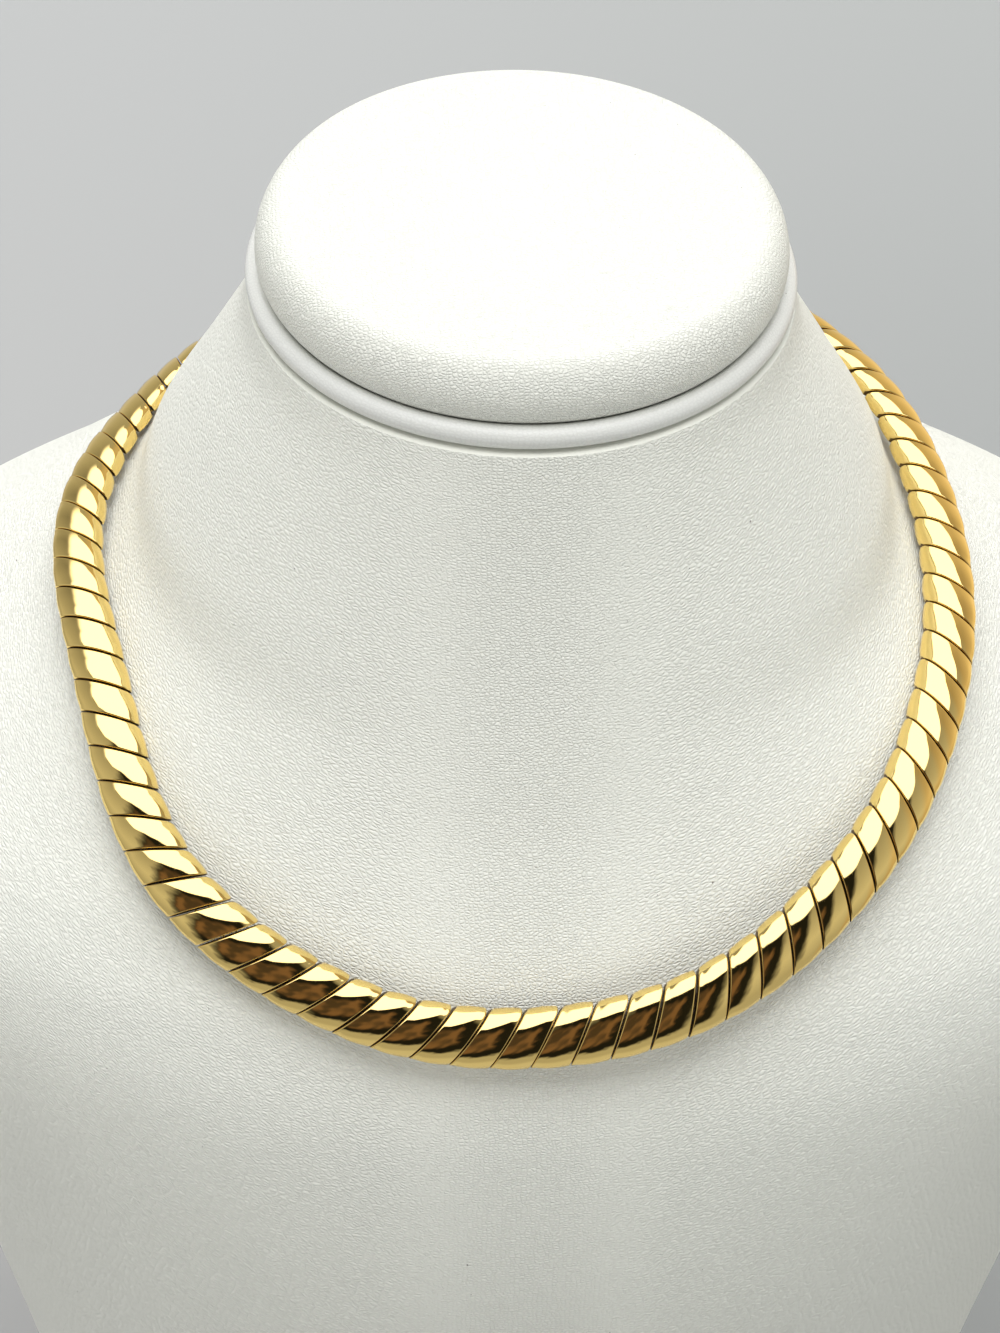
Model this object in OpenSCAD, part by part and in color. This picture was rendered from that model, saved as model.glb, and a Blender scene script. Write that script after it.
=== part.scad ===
// Collar necklace of slanted, domed links on a plain neck bust.
// The bust stands on a table at height 0 and faces the -Y direction. All sizes are in millimetres.

/* [Bust] */
// Height of the rim of the cap above the table, which scales the bust and the necklace's route
bust_h = 240; // [220:1:260]
// Radius of the padded cap at its rim
cap_r = 38; // [36:0.5:40]
// How far the middle of the pad stands above its soft edge
cap_crown = 0.8; // [0:0.1:2]
// Radius of the pad's soft edge
cap_edge = 4.5; // [4:0.1:6]
// Thickness of the piping under the cap
piping_d = 3.4; // [3:0.1:4.2]

/* [Links] */
// Width of the widest link, at the front of the collar
link_w = 8.8; // [7:0.1:10]
// Share of that width which is lost by the back of the neck
link_taper = 0.6; // [0.3:0.05:0.7]
// Share of the front links' length which is lost by the back of the neck
pitch_taper = 0.26; // [0:0.01:0.4]
// Height of a link as a share of its width
dome_share = 0.385; // [0.3:0.005:0.42]
// Slant of the links' cut ends, in degrees
link_slant = 30; // [15:1:38]
// Clear gap between two neighbouring links
link_gap = 0.2; // [0.2:0.05:0.5]
// Links on each side of the front one
side_links = 40; // [36:1:42]
// How far the front link sits to the left of the bust's middle
front_shift = 0.4; // [0:0.1:2]

/* [Joining rings] */
// Radius of a joining ring, to the middle of its wire
ring_r = 1; // [0.9:0.05:1.1]
// Thickness of its wire
ring_wire = 0.36; // [0.3:0.02:0.4]

/* [Clasp] */
// Length of the collar that the clasp takes up at the back
clasp_l = 13; // [12:0.5:18]

/* [Hidden] */
// Links on each side of the front one that are nodes of their own
own_side = 20;
own_links = 2*own_side + 1;

// Sections of the bust from the cap down, each one a rounded outline that leans forward
// columns: drop below the rim, half width, depth in front, depth behind,
// lean (rise per mm towards the back), squareness
bust_sections = [
  [8.1, 39.2, 38.5, 38.0, 0.14, 2.0],
  [ 14, 40.9, 39.5, 39.0, 0.15, 2.0],
  [ 24, 46.8, 41.5, 41.0, 0.18, 2.0],
  [ 36, 53.4, 44.5, 44.2, 0.23, 2.1],
  [ 46, 57.3, 47.5, 45.7, 0.26, 2.2],
  [ 54, 68.7, 50.5, 46.3, 0.29, 2.3],
  [ 62, 83.5, 54.5, 48.6, 0.30, 2.3],
  [ 72, 101.0, 59.0, 54.2, 0.27, 2.3],
  [ 84, 107.5, 63.5, 56.0, 0.22, 2.3],
  [105, 103.5, 67.0, 58.0, 0.14, 2.3],
  [140, 91.0, 66.5, 57.0, 0.06, 2.3],
  [180, 79.0, 61.0, 53.0, 0.01, 2.3],
  [215, 70.0, 54.0, 49.0, 0.00, 2.3],
  [236, 62.5, 49.0, 45.0, 0.00, 2.3],
  [240, 59.0, 46.0, 42.0, 0.00, 2.3]
];

// Stations of the necklace's middle line, evenly turned round the neck from the front by way of the right
// columns: distance from the bust's middle, height, lean of the links below the level
necklace_stations = [
  [65.0, 146.5, 70],
  [68.5, 153.0, 67],
  [69.5, 167.5, 46],
  [66.4, 182.7, 19],
  [61.8, 194.9,  9],
  [58.0, 204.1, 20],
  [52.5, 210.6, 52],
  [48.0, 212.3, 67],
  [46.7, 213.9, 71],
  [48.1, 211.7, 67],
  [54.0, 205.9, 56],
  [58.9, 200.0, 26],
  [63.9, 193.7,  6],
  [65.8, 183.2, 24],
  [71.0, 164.5, 47],
  [67.5, 150.5, 69]
];

// Height that both tables are written for, and the scale of the bust against it
design_h = 240;
size = bust_h / design_h;
// Rings of the bust's surface for each section, and points round each ring
steps_per_section = 3;
ring_points = 48;
// Slope of the neck's flat top, and its drop below the rim square to that slope
cap_tilt = atan(bust_sections[0][4]);
neck_drop = bust_sections[0][0] * size * cos(cap_tilt);
// Small gap under pieces that lie on each other, and the gap between the pad and the piping
piece_gap = 0.1;
pad_gap = 0.12;
// How far the middle of the piping lies inside the cap's radius, and so the radius of its ring
// and its drop below the rim
piping_inset = 0.3;
piping_r = cap_r - piping_inset;
piping_drop = neck_drop - piece_gap - piping_d/2;
// Radius of the pad's foot inside the piping, and of the flatter part of its top
pad_foot_r = piping_r - piping_d/2 - pad_gap;
pad_flat_r = cap_r - cap_edge;
// Drop of the pad's widest line, at which its soft edge just clears the piping,
// and the angle below the level at which that edge meets the foot
pad_waist = piping_drop - sqrt(pow(cap_edge + piping_d/2 + pad_gap, 2) - pow(piping_r - pad_flat_r, 2));
pad_tuck = acos((pad_foot_r - pad_flat_r) / cap_edge);
// Steps of the pad's soft edge, and of its top from that edge to the middle
edge_steps = 12;
top_steps = 6;

// Turn from one station of the necklace to the next
stations = len(necklace_stations);
station_turn = 360 / stations;
// Samples of the middle line from which its length is measured
samples_per_station = 16;
samples = stations * samples_per_station;
// Reach to each side, in stations, over which the line's direction is taken
tangent_reach = 0.02;

// Lugs under a link, which the joining rings pass through: thickness, radius of the eye and of its hole
lug_t = 0.5;
lug_r = 0.62;
lug_hole_r = 0.4;
// Width of a lug's neck, how far it reaches into the link, and the drop of the eye below the link
lug_neck = 1.6 * lug_r;
lug_bite = 0.3;
lug_drop = 0.52;
// Height of a link's side walls, and depth of its underside below the middle line, as shares of its height
wall_share = 0.235;
seat_share = 0.265;
// Steps of the dome to each side of its crest
dome_steps = 6;
// How far the ends of a link bulge
end_bulge = 0.1;
// How much of each side a corner takes, and how much of that its middle point is pulled in
corner_share = 0.16;
corner_pull = 0.25;
// Size of the clasp across the collar and through it
clasp_w = 5.2;
clasp_h = 2.2;

// Point on a smooth curve through four values, t running from 0 at b to 1 at c
function curve(a, b, c, d, t) =
  0.5 * (2*b + (c - a)*t + (2*a - 5*b + 4*c - d)*t*t + (3*b - a - 3*c + d)*t*t*t);

// Row of an open table at the place u, in rows
function open_row(table, u) =
  let (
    last = len(table) - 1,
    i = min(floor(u), last - 1)
  )
  curve(table[max(i - 1, 0)], table[i], table[i + 1], table[min(i + 2, last)], u - i);

// Row of a closed table at the place u, in rows
function closed_row(table, u) =
  let (
    n = len(table),
    i = floor(u),
    k = ((i % n) + n) % n
  )
  curve(table[(k + n - 1) % n], table[k], table[(k + 1) % n], table[(k + 2) % n], u - i);

function unit(v) = v / norm(v);
function rounded(value, squareness) = sign(value) * pow(abs(value), 2 / squareness);

// Point of the bust's surface at the section place u and the angle a from the front
function bust_point(u, a) =
  let (
    s = open_row(bust_sections, u),
    x = s[1] * rounded(sin(a), s[5]),
    y = -(cos(a) > 0 ? s[2] : s[3]) * rounded(cos(a), s[5])
  )
  size * [x, y, design_h - s[0] + y*s[4]];

// Middle line of the necklace at the station place u
function line_point(u) =
  let (
    s = closed_row(necklace_stations, u),
    a = u * station_turn
  )
  size * [s[0]*sin(a), -s[0]*cos(a), s[1]];

// Length of the middle line from the front up to each sample
line_lengths = [
  for (i = 0, total = 0; i <= samples;
       total = total + norm(line_point((i + 1)/samples_per_station) - line_point(i/samples_per_station)),
       i = i + 1)
    total
];
line_total = line_lengths[samples];
place_table = [for (i = [0:samples]) [line_lengths[i], i/samples_per_station]];
function place_at(l) = lookup(l < 0 ? l + line_total : (l > line_total ? l - line_total : l), place_table);

// Frame of the necklace at the length l: point, way along it, way towards the neck, outward normal
function line_frame(l) =
  let (
    u = place_at(l),
    a = u * station_turn,
    lean = closed_row(necklace_stations, u)[2],
    along = unit(line_point(u + tangent_reach) - line_point(u - tangent_reach)),
    climb = [-sin(a)*cos(lean), cos(a)*cos(lean), sin(lean)],
    across = unit(climb - (climb*along)*along)
  )
  [line_point(u), along, across, cross(along, across)];

// Distance along the line of the gap m, counted in links from the front, as links grow shorter to the back
full_side = side_links + 1;
function graded(m) = m - sign(m) * pitch_taper * pow(abs(m), 3) / (3 * pow(full_side, 2));
front_pitch = (line_total - clasp_l) / 2 / graded(side_links + 0.5);
function gap_at(m) = front_pitch * graded(m) - front_shift;
function width_at(l) =
  let (way = min(abs(l), line_total - abs(l)))
  link_w * (1 - link_taper * pow(way / (line_total/2), 2));

// Where the slanted cut at the length l crosses the place b across the collar
function cut_length(l, b) = l + b * tan(link_slant);

// How far a link's underside lies below the middle line
function seat_at(l) = seat_share * dome_share * width_at(l);

// Frame of the joining ring in the gap at the length l
function ring_frame(l) =
  let (f = line_frame(l))
  [f[0] - (seat_at(l) + lug_drop)*f[3], f[1], f[2], f[3]];

// A world point written in the frame f
function local(f, p) = [(p - f[0])*f[1], (p - f[0])*f[2], (p - f[0])*f[3]];

// Corner of a link's plan in the frame f, at the gap length l and one side (1 is towards the neck)
function plan_corner(f, l, side, w, clear) =
  let (
    b = side * w/2,
    g = line_frame(cut_length(l, b) + clear),
    p = local(f, g[0] + b*g[2])
  )
  [p[0], p[1]];

// A corner c cut back and blended towards its neighbours a and b
function blend(a, c, b) = [
  c + corner_share*(a - c),
  c + corner_pull*corner_share*(a + b - 2*c),
  c + corner_share*(b - c)
];

// Plan of a link between two gaps, with rounded corners and slightly bulging ends
function plan(f, l0, l1, w, clear) =
  let (
    a = plan_corner(f, l0, -1, w, clear),
    b = plan_corner(f, l1, -1, w, -clear),
    c = plan_corner(f, l1, 1, w, -clear),
    d = plan_corner(f, l0, 1, w, clear)
  )
  concat(blend(d, a, b), [(a + b)/2 - [0, end_bulge]], blend(a, b, c),
         blend(b, c, d), [(c + d)/2 + [0, end_bulge]], blend(c, d, a));

// Section across a link: flat underneath, short side walls and a domed top
function dome(w, h) =
  let (
    wall = wall_share * h,
    reach = w/2 + 2*end_bulge
  )
  concat([[-reach, 0], [-reach, wall]],
         [
           for (k = [-dome_steps:dome_steps])
             let (a = 90*k/dome_steps)
             [w/2 * sin(a), wall + (h - wall)*cos(a)]
         ],
         [[reach, wall], [reach, 0]]);

// Puts a shape that is drawn in a frame where the frame is
module placed(f) {
  o = f[0];
  t = f[1];
  a = f[2];
  n = f[3];
  multmatrix([
    [t[0], a[0], n[0], o[0]],
    [t[1], a[1], n[1], o[1]],
    [t[2], a[2], n[2], o[2]],
    [0, 0, 0, 1]
  ]) children();
}

// Lug with its eye round the point p, whose neck rises to the height top
module lug(p, top) {
  translate(p) {
    rotate([90, 0, 0]) cylinder(h = lug_t, r = lug_r, center = true, $fn = 32);
    translate([-lug_neck/2, -lug_t/2, 0]) cube([lug_neck, lug_t, top - p[2]]);
  }
}

module lug_hole(p) {
  translate(p) rotate([90, 0, 0]) cylinder(h = 2*lug_t, r = lug_hole_r, center = true, $fn = 32);
}

// A plate between the gaps at l0 and l1 with a lug at each cut: a link, or the clasp
module plate(l0, l1, w, h, seat) {
  f = line_frame((l0 + l1)/2);
  before = ring_frame(l0);
  after = ring_frame(l1);
  hole_0 = local(f, before[0] + ring_r*before[1]);
  hole_1 = local(f, after[0] - ring_r*after[1]);
  placed(f) difference() {
    union() {
      translate([0, 0, -seat]) intersection() {
        linear_extrude(height = 2*h) polygon(plan(f, l0, l1, w, link_gap/2/cos(link_slant)));
        rotate([90, 0, 90]) linear_extrude(height = 2*(l1 - l0) + 2*w, center = true) polygon(dome(w, h));
      }
      lug(hole_0, lug_bite - seat);
      lug(hole_1, lug_bite - seat);
    }
    lug_hole(hole_0);
    lug_hole(hole_1);
  }
}

// The link k places to the right of the front one
module link_solid(k) {
  l0 = gap_at(k - 0.5);
  l1 = gap_at(k + 0.5);
  w = width_at((l0 + l1)/2);
  plate(l0, l1, w, dome_share*w, seat_at((l0 + l1)/2));
}

module link(i) {
  color("gold") link_solid(i - 1 - own_side);
}

module links_back_left() {
  color("gold") for (k = [-side_links:-own_side - 1]) link_solid(k);
}

module links_back_right() {
  color("gold") for (k = [own_side + 1:side_links]) link_solid(k);
}

module joining_rings() {
  color("goldenrod")
    for (m = [-side_links - 0.5:side_links + 0.5])
      placed(ring_frame(gap_at(m)))
        rotate_extrude($fn = 32) translate([ring_r, 0]) circle(d = ring_wire, $fn = 16);
}

// Plain clasp between the last two links
module clasp() {
  l0 = gap_at(side_links + 0.5);
  l1 = line_total + gap_at(-side_links - 0.5);
  color("gold") plate(l0, l1, clasp_w, clasp_h, seat_at(l0));
}

// Puts a round part of the cap in the plane of its rim
module on_neck() {
  translate([0, 0, bust_h]) rotate([cap_tilt, 0, 0]) children();
}

// Soft outline of the pad, from its foot round the rim to the middle of its top
module pad_outline() {
  polygon(concat(
    [[0, -neck_drop + piece_gap], [pad_foot_r, -neck_drop + piece_gap]],
    [
      for (k = [0:edge_steps])
        let (
          a = (90 + pad_tuck)*k/edge_steps - pad_tuck,
          high = a > 0 ? cap_edge + pad_waist : cap_edge
        )
        [pad_flat_r + cap_edge*cos(a), high*sin(a) - pad_waist]
    ],
    [
      for (k = [1:top_steps])
        let (r = 1 - k/top_steps)
        [pad_flat_r*r, cap_edge + cap_crown*(1 - r*r)]
    ]
  ));
}

module cap_pad() {
  color("white") on_neck() rotate_extrude($fn = 96) pad_outline();
}

module cap_piping() {
  color("white") on_neck() translate([0, 0, -piping_drop])
    rotate_extrude($fn = 96) translate([piping_r, 0]) circle(d = piping_d, $fn = 32);
}

// The covered form from the neck's flat top to the base, as rings of points joined by triangles
module bust_body() {
  last = len(bust_sections) - 1;
  places = [for (i = [0:last*steps_per_section]) i/steps_per_section];
  rings = len(places);
  angles = [for (j = [0:ring_points - 1]) j*360/ring_points];
  shell = [for (u = places) for (a = angles) bust_point(u, a)];
  top_middle = [0, 0, size*(design_h - bust_sections[0][0])];
  points = concat(shell, [top_middle, [0, 0, 0]]);
  n = ring_points;
  sides = [
    for (i = [0:rings - 2]) for (j = [0:n - 1]) for (half = [0, 1])
      let (
        k = (j + 1) % n,
        p = i*n + j,
        q = i*n + k
      )
      half == 0 ? [p, q, p + n] : [q, q + n, p + n]
  ];
  lid = [for (j = [0:n - 1]) [rings*n, (j + 1) % n, j]];
  base = [for (j = [0:n - 1]) [rings*n + 1, (rings - 1)*n + j, (rings - 1)*n + (j + 1) % n]];
  color("whitesmoke") polyhedron(points = points, faces = concat(sides, lid, base));
}

function link_name(i) = str("link_", i < 10 ? "0" : "", i);

bust_body();
cap_pad();
cap_piping();
for (i = [1:own_links]) link(i);
links_back_left();
links_back_right();
joining_rings();
clasp();
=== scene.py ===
# %% [markdown]
# # A gold collar on a neck bust
# The object is a collar necklace: 81 slanted, domed links in polished gold tone, which lie on a display
# bust covered in white leatherette. The CAD model already holds every solid at its real size. This script
# dresses it: it rebuilds the smooth surfaces finely, gives each finish its material, and lights the whole
# like the photograph. It starts by loading the CAD frame, whose nodes all sit at the origin with their
# place in the mesh.

# %% Load the frame
import math

import bmesh
import bpy
import numpy as np
from mathutils import Matrix, Vector


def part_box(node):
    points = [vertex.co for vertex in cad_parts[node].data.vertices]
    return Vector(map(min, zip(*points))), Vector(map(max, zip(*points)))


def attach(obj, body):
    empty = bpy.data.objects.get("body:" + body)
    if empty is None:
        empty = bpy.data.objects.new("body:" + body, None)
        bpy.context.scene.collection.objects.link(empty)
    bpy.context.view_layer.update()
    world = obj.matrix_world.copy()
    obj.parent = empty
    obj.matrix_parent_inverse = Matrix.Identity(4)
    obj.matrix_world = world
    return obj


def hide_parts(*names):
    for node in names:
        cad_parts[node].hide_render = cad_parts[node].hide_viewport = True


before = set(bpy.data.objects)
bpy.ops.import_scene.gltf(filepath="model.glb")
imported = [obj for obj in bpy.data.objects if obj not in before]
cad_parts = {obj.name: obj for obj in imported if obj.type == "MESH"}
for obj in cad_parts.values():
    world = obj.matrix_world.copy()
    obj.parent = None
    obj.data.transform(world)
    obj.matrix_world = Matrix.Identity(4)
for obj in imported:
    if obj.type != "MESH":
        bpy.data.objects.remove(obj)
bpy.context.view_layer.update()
MM = 0.001

# %% [markdown]
# ## The camera
# The photograph was taken from in front and above, through a long lens, so the cap on the neck shows as an
# oval. A camera could be placed by eye. Here it is worked out from a few numbers: how high it stands, how
# far round, how far away, and what it aims at.

# %% Place the camera
CAMERA_RISE = 33.77
CAMERA_TURN = -3.12
CAMERA_ROLL = 1.26
CAMERA_DISTANCE = 680 * MM
CAMERA_AIM = Vector((-3.2, -25.0, 183.2)) * MM
CAMERA_LENS = 169.9


def aim_camera():
    rise = math.radians(CAMERA_RISE)
    turn = math.radians(CAMERA_TURN)
    away = Vector((math.sin(turn) * math.cos(rise), -math.cos(turn) * math.cos(rise), math.sin(rise)))
    data = bpy.data.cameras.new("photo_camera")
    data.sensor_fit = "HORIZONTAL"
    data.sensor_width = 36.0
    data.lens = CAMERA_LENS
    camera = bpy.data.objects.new("photo_camera", data)
    bpy.context.scene.collection.objects.link(camera)
    level = away.to_track_quat("Z", "Y").to_matrix().to_4x4()
    roll = Matrix.Rotation(math.radians(CAMERA_ROLL), 4, "Z")
    camera.matrix_world = Matrix.Translation(CAMERA_AIM + away * CAMERA_DISTANCE) @ level @ roll
    bpy.context.scene.camera = camera
    return camera


camera = aim_camera()
print("camera at", [round(v, 3) for v in camera.matrix_world.translation])

# %% [markdown]
# ## Smooth curves through short tables
# The bust and the necklace's route are both described by a short table of measured sections, and a smooth
# curve runs through its rows. A Bezier curve object could do this too. A small function is easier to share
# between a surface and a path, and it is the same curve that the CAD model uses, so both agree to a hair.

# %% Curves through tables
def through(a, b, c, d, t):
    """A smooth curve from b to c, whose slopes at its ends come from a and d."""
    return 0.5 * (2*b + (c - a)*t + (2*a - 5*b + 4*c - d)*t*t + (3*b - a - 3*c + d)*t**3)


def open_rows(table, u):
    last = len(table) - 1
    i = np.minimum(np.floor(u).astype(int), last - 1)
    t = (u - i)[:, None]
    return through(table[np.maximum(i - 1, 0)], table[i], table[i + 1], table[np.minimum(i + 2, last)], t)


def closed_rows(table, u):
    n = len(table)
    i = np.floor(u).astype(int)
    t = (u - i)[:, None]
    return through(table[(i - 1) % n], table[i % n], table[(i + 1) % n], table[(i + 2) % n], t)


def unit(v):
    return v / np.linalg.norm(v, axis=-1, keepdims=True)


# %% [markdown]
# A mesh made of rows of points is the simplest smooth shape: neighbouring rows are joined by four-sided
# faces. The bust, the pad and the piping are all such grids, so one helper joins them and another makes
# the object.

# %% Grids and objects
def grid_faces(rows, columns, close_rows=False):
    faces = []
    for i in range(rows if close_rows else rows - 1):
        for j in range(columns):
            a = i * columns
            b = ((i + 1) % rows) * columns
            k = (j + 1) % columns
            faces.append((a + j, a + k, b + k, b + j))
    return faces


def turn_outwards(mesh):
    built = bmesh.new()
    built.from_mesh(mesh)
    bmesh.ops.recalc_face_normals(built, faces=built.faces)
    built.to_mesh(mesh)
    built.free()


def new_object(name, points, faces):
    mesh = bpy.data.meshes.new(name)
    mesh.from_pydata([tuple(p) for p in points], [], faces)
    turn_outwards(mesh)
    mesh.shade_smooth()
    obj = bpy.data.objects.new(name, mesh)
    bpy.context.scene.collection.objects.link(obj)
    return obj


def give_map(mesh, rows, columns, spots):
    """Writes the map "grain" of a grid: rows x (columns + 1) spots in millimetres on the flat sheet."""
    layer = mesh.uv_layers.new(name="grain")
    flat = np.zeros((len(mesh.loops), 2))
    for face in mesh.polygons:
        if len(face.vertices) != 4:
            continue
        # The faces that close the ring end one column further on the sheet, not at its start
        around = {v: v % columns for v in face.vertices}
        wraps = max(around.values()) - min(around.values()) > 1
        for loop, v in zip(face.loop_indices, face.vertices):
            j = columns if wraps and around[v] == 0 else around[v]
            flat[loop] = spots[v // columns, j]
    layer.data.foreach_set("uv", np.ravel(flat))


def arc_lengths(points, axis):
    steps = np.linalg.norm(np.diff(points, axis=axis), axis=-1)
    start = np.zeros_like(steps.take([0], axis))
    return np.concatenate([start, np.cumsum(steps, axis)], axis)


def stand_for(obj, slot, *nodes):
    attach(obj, "root")
    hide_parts(*nodes)
    print(obj.name, len(obj.data.polygons), "faces")


# %% [markdown]
# ## The bust
# The real bust is a moulded core with leatherette drawn tightly over it, so its surface is one smooth skin
# from the neck's flat top to the base. It could be sculpted or subdivided from a rough cage. Here the skin
# is lofted through the same leaning sections as the CAD solid, only with many more points, so it stays on
# the real shape while the light runs over it without a facet.

# %% Loft the bust
BUST_HEIGHT = 240.0
BUST_SECTIONS = np.array([
    # drop below the rim, half width, depth in front, depth behind, lean towards the back, squareness
    [8.1, 39.2, 38.5, 38.0, 0.14, 2.0],
    [14, 40.9, 39.5, 39.0, 0.15, 2.0],
    [24, 46.8, 41.5, 41.0, 0.18, 2.0],
    [36, 53.4, 44.5, 44.2, 0.23, 2.1],
    [46, 57.3, 47.5, 45.7, 0.26, 2.2],
    [54, 68.7, 50.5, 46.3, 0.29, 2.3],
    [62, 83.5, 54.5, 48.6, 0.30, 2.3],
    [72, 101.0, 59.0, 54.2, 0.27, 2.3],
    [84, 107.5, 63.5, 56.0, 0.22, 2.3],
    [105, 103.5, 67.0, 58.0, 0.14, 2.3],
    [140, 91.0, 66.5, 57.0, 0.06, 2.3],
    [180, 79.0, 61.0, 53.0, 0.01, 2.3],
    [215, 70.0, 54.0, 49.0, 0.00, 2.3],
    [236, 62.5, 49.0, 45.0, 0.00, 2.3],
    [240, 59.0, 46.0, 42.0, 0.00, 2.3],
])
ROWS_PER_SECTION = 12
BUST_COLUMNS = 288
BUST_CREASE = 50


def bust_points(places, angles):
    s = open_rows(BUST_SECTIONS, places)[:, None, :]
    side = np.sin(angles)[None, :]
    front = np.cos(angles)[None, :]
    power = 2 / s[..., 5]
    x = s[..., 1] * np.sign(side) * np.abs(side)**power
    depth = np.where(front > 0, s[..., 2], s[..., 3])
    y = -depth * np.sign(front) * np.abs(front)**power
    return np.stack([x, y, BUST_HEIGHT - s[..., 0] + y * s[..., 4]], -1)


def loft_bust():
    places = np.linspace(0, len(BUST_SECTIONS) - 1, (len(BUST_SECTIONS) - 1) * ROWS_PER_SECTION + 1)
    angles = np.linspace(-np.pi, np.pi, BUST_COLUMNS + 1)
    grid = bust_points(places, angles)
    points = grid[:, :-1].reshape(-1, 3) * MM
    faces = grid_faces(len(places), BUST_COLUMNS)
    faces.append(tuple(range(BUST_COLUMNS)))
    faces.append(tuple(range((len(places) - 1) * BUST_COLUMNS, len(places) * BUST_COLUMNS)))
    bust = new_object("bust_cover", points, faces)
    bust.data.set_sharp_from_angle(angle=math.radians(BUST_CREASE))
    around = arc_lengths(grid, 1)
    around -= around[:, [BUST_COLUMNS // 2]]
    give_map(bust.data, len(places), BUST_COLUMNS, np.stack([around, arc_lengths(grid, 0)], -1))
    return bust


bust_cover = loft_bust()
stand_for(bust_cover, "leatherette", "bust_body")

# %% [markdown]
# ## The padded cap and its piping
# On top of the neck sits a round pad: a firm disc under the same leatherette, drawn down over a soft edge.
# Below it runs a ring of piping, a cord wrapped in the cover. A pad can be inflated by a cloth simulation,
# but this one is stretched so tightly that it has no fold to find, so its outline is turned like a lathe's
# and then eased by less than a tenth of a millimetre, which is what keeps the highlight from looking
# machined.

# %% Turn the pad and the piping
CAP_RADIUS = 38.0
CAP_EDGE = 4.5
CAP_CROWN = 0.8
PIPING = 3.4
PIECE_GAP = 0.1
PAD_GAP = 0.12
CAP_TILT = math.atan(BUST_SECTIONS[0][4])
NECK_DROP = BUST_SECTIONS[0][0] * math.cos(CAP_TILT)
PIPING_RADIUS = CAP_RADIUS - 0.3
PIPING_DROP = NECK_DROP - PIECE_GAP - PIPING/2
PAD_FOOT = PIPING_RADIUS - PIPING/2 - PAD_GAP
PAD_FLAT = CAP_RADIUS - CAP_EDGE
PAD_WAIST = PIPING_DROP - math.sqrt((CAP_EDGE + PIPING/2 + PAD_GAP)**2 - (PIPING_RADIUS - PAD_FLAT)**2)
PAD_TUCK = math.acos((PAD_FOOT - PAD_FLAT) / CAP_EDGE)
TURNS = 224
EDGE_STEPS = 32
TOP_STEPS = 22
# The pad's outline begins and ends just beside the axis, and flat faces close the small holes there
TOP_HOLE = 0.01
FOOT_HOLE = 0.3
FOOT_ROUND = 0.4


def pad_outline():
    foot = -NECK_DROP + PIECE_GAP
    edge = []
    for a in np.linspace(-PAD_TUCK, math.pi/2, EDGE_STEPS):
        high = CAP_EDGE + PAD_WAIST if a > 0 else CAP_EDGE
        edge.append((PAD_FLAT + CAP_EDGE*math.cos(a), high*math.sin(a) - PAD_WAIST))
    shares = np.linspace(1, TOP_HOLE, TOP_STEPS)[1:]
    top = [(PAD_FLAT*r, CAP_EDGE + CAP_CROWN*(1 - r*r)) for r in shares]
    return [(FOOT_HOLE, foot), (PAD_FOOT - FOOT_ROUND, foot), (PAD_FOOT, foot + FOOT_ROUND)] + edge + top


WAVE_SIZE = 9.0
CALM_RADIUS = 6


def ease(x, y, height):
    """Slow waves of unlike lengths and directions, whose sum doesn't repeat on the pad."""
    upright = math.sin(x/WAVE_SIZE + 1.3) * math.cos(y/WAVE_SIZE*1.2 - 0.4)
    return height * (upright + 0.6*math.sin((x + 2*y)/WAVE_SIZE*0.7))


def turned(outline, waviness, closed=False):
    points = []
    for r, z in outline:
        for t in np.linspace(0, 2 * math.pi, TURNS, endpoint=False):
            x, y = r * math.cos(t), r * math.sin(t)
            points.append((x, y, z + ease(x, y, waviness) * min(1.0, r/CALM_RADIUS)))
    lift = Matrix.Translation((0, 0, BUST_HEIGHT*MM))
    tilt = lift @ Matrix.Rotation(CAP_TILT, 4, "X") @ Matrix.Scale(MM, 4)
    faces = grid_faces(len(outline), TURNS, close_rows=closed)
    if not closed:
        faces.append(tuple(range(TURNS)))
        faces.append(tuple(range((len(outline) - 1) * TURNS, len(outline) * TURNS)))
    return [tilt @ Vector(p) for p in points], faces


def piping_outline():
    turn = np.linspace(math.pi, 3 * math.pi, EDGE_STEPS, endpoint=False)
    return [(PIPING_RADIUS + PIPING/2*math.cos(a), PIPING/2*math.sin(a) - PIPING_DROP) for a in turn]


def sheet_map(outline, from_middle):
    """Spots on the flat sheet: a disc drawn from its middle, or a strip wound round the ring."""
    turn = np.linspace(0, 2 * math.pi, TURNS + 1)
    way = arc_lengths(np.array(outline), 0)[:, None]
    if from_middle:
        way = way[-1] - way
        return np.stack([way * np.cos(turn), way * np.sin(turn)], -1)
    return np.stack(np.broadcast_arrays(PIPING_RADIUS * turn, way), -1)


PAD_WAVES = 0.05
PIPING_WAVES = 0.03
PAD_CREASE = 60
pad = pad_outline()
cap_cover = new_object("cap_cover", *turned(pad, PAD_WAVES))
give_map(cap_cover.data, len(pad), TURNS, sheet_map(pad, True))
cap_cover.data.set_sharp_from_angle(angle=math.radians(PAD_CREASE))
stand_for(cap_cover, "leatherette", "cap_pad")
bead = piping_outline()
piping_bead = new_object("piping_bead", *turned(bead, PIPING_WAVES, closed=True))
give_map(piping_bead.data, len(bead), TURNS, sheet_map(bead, False))
stand_for(piping_bead, "leatherette", "cap_piping")

# %% [markdown]
# ## The necklace's route
# The middle line of the collar runs round the neck on sixteen stations. At each place along it the links
# need a frame: the way along the line, the way across it towards the neck, and the way out from the
# leather. The same frames place the CAD links, so a fine link falls exactly where its plain one is.

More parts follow.
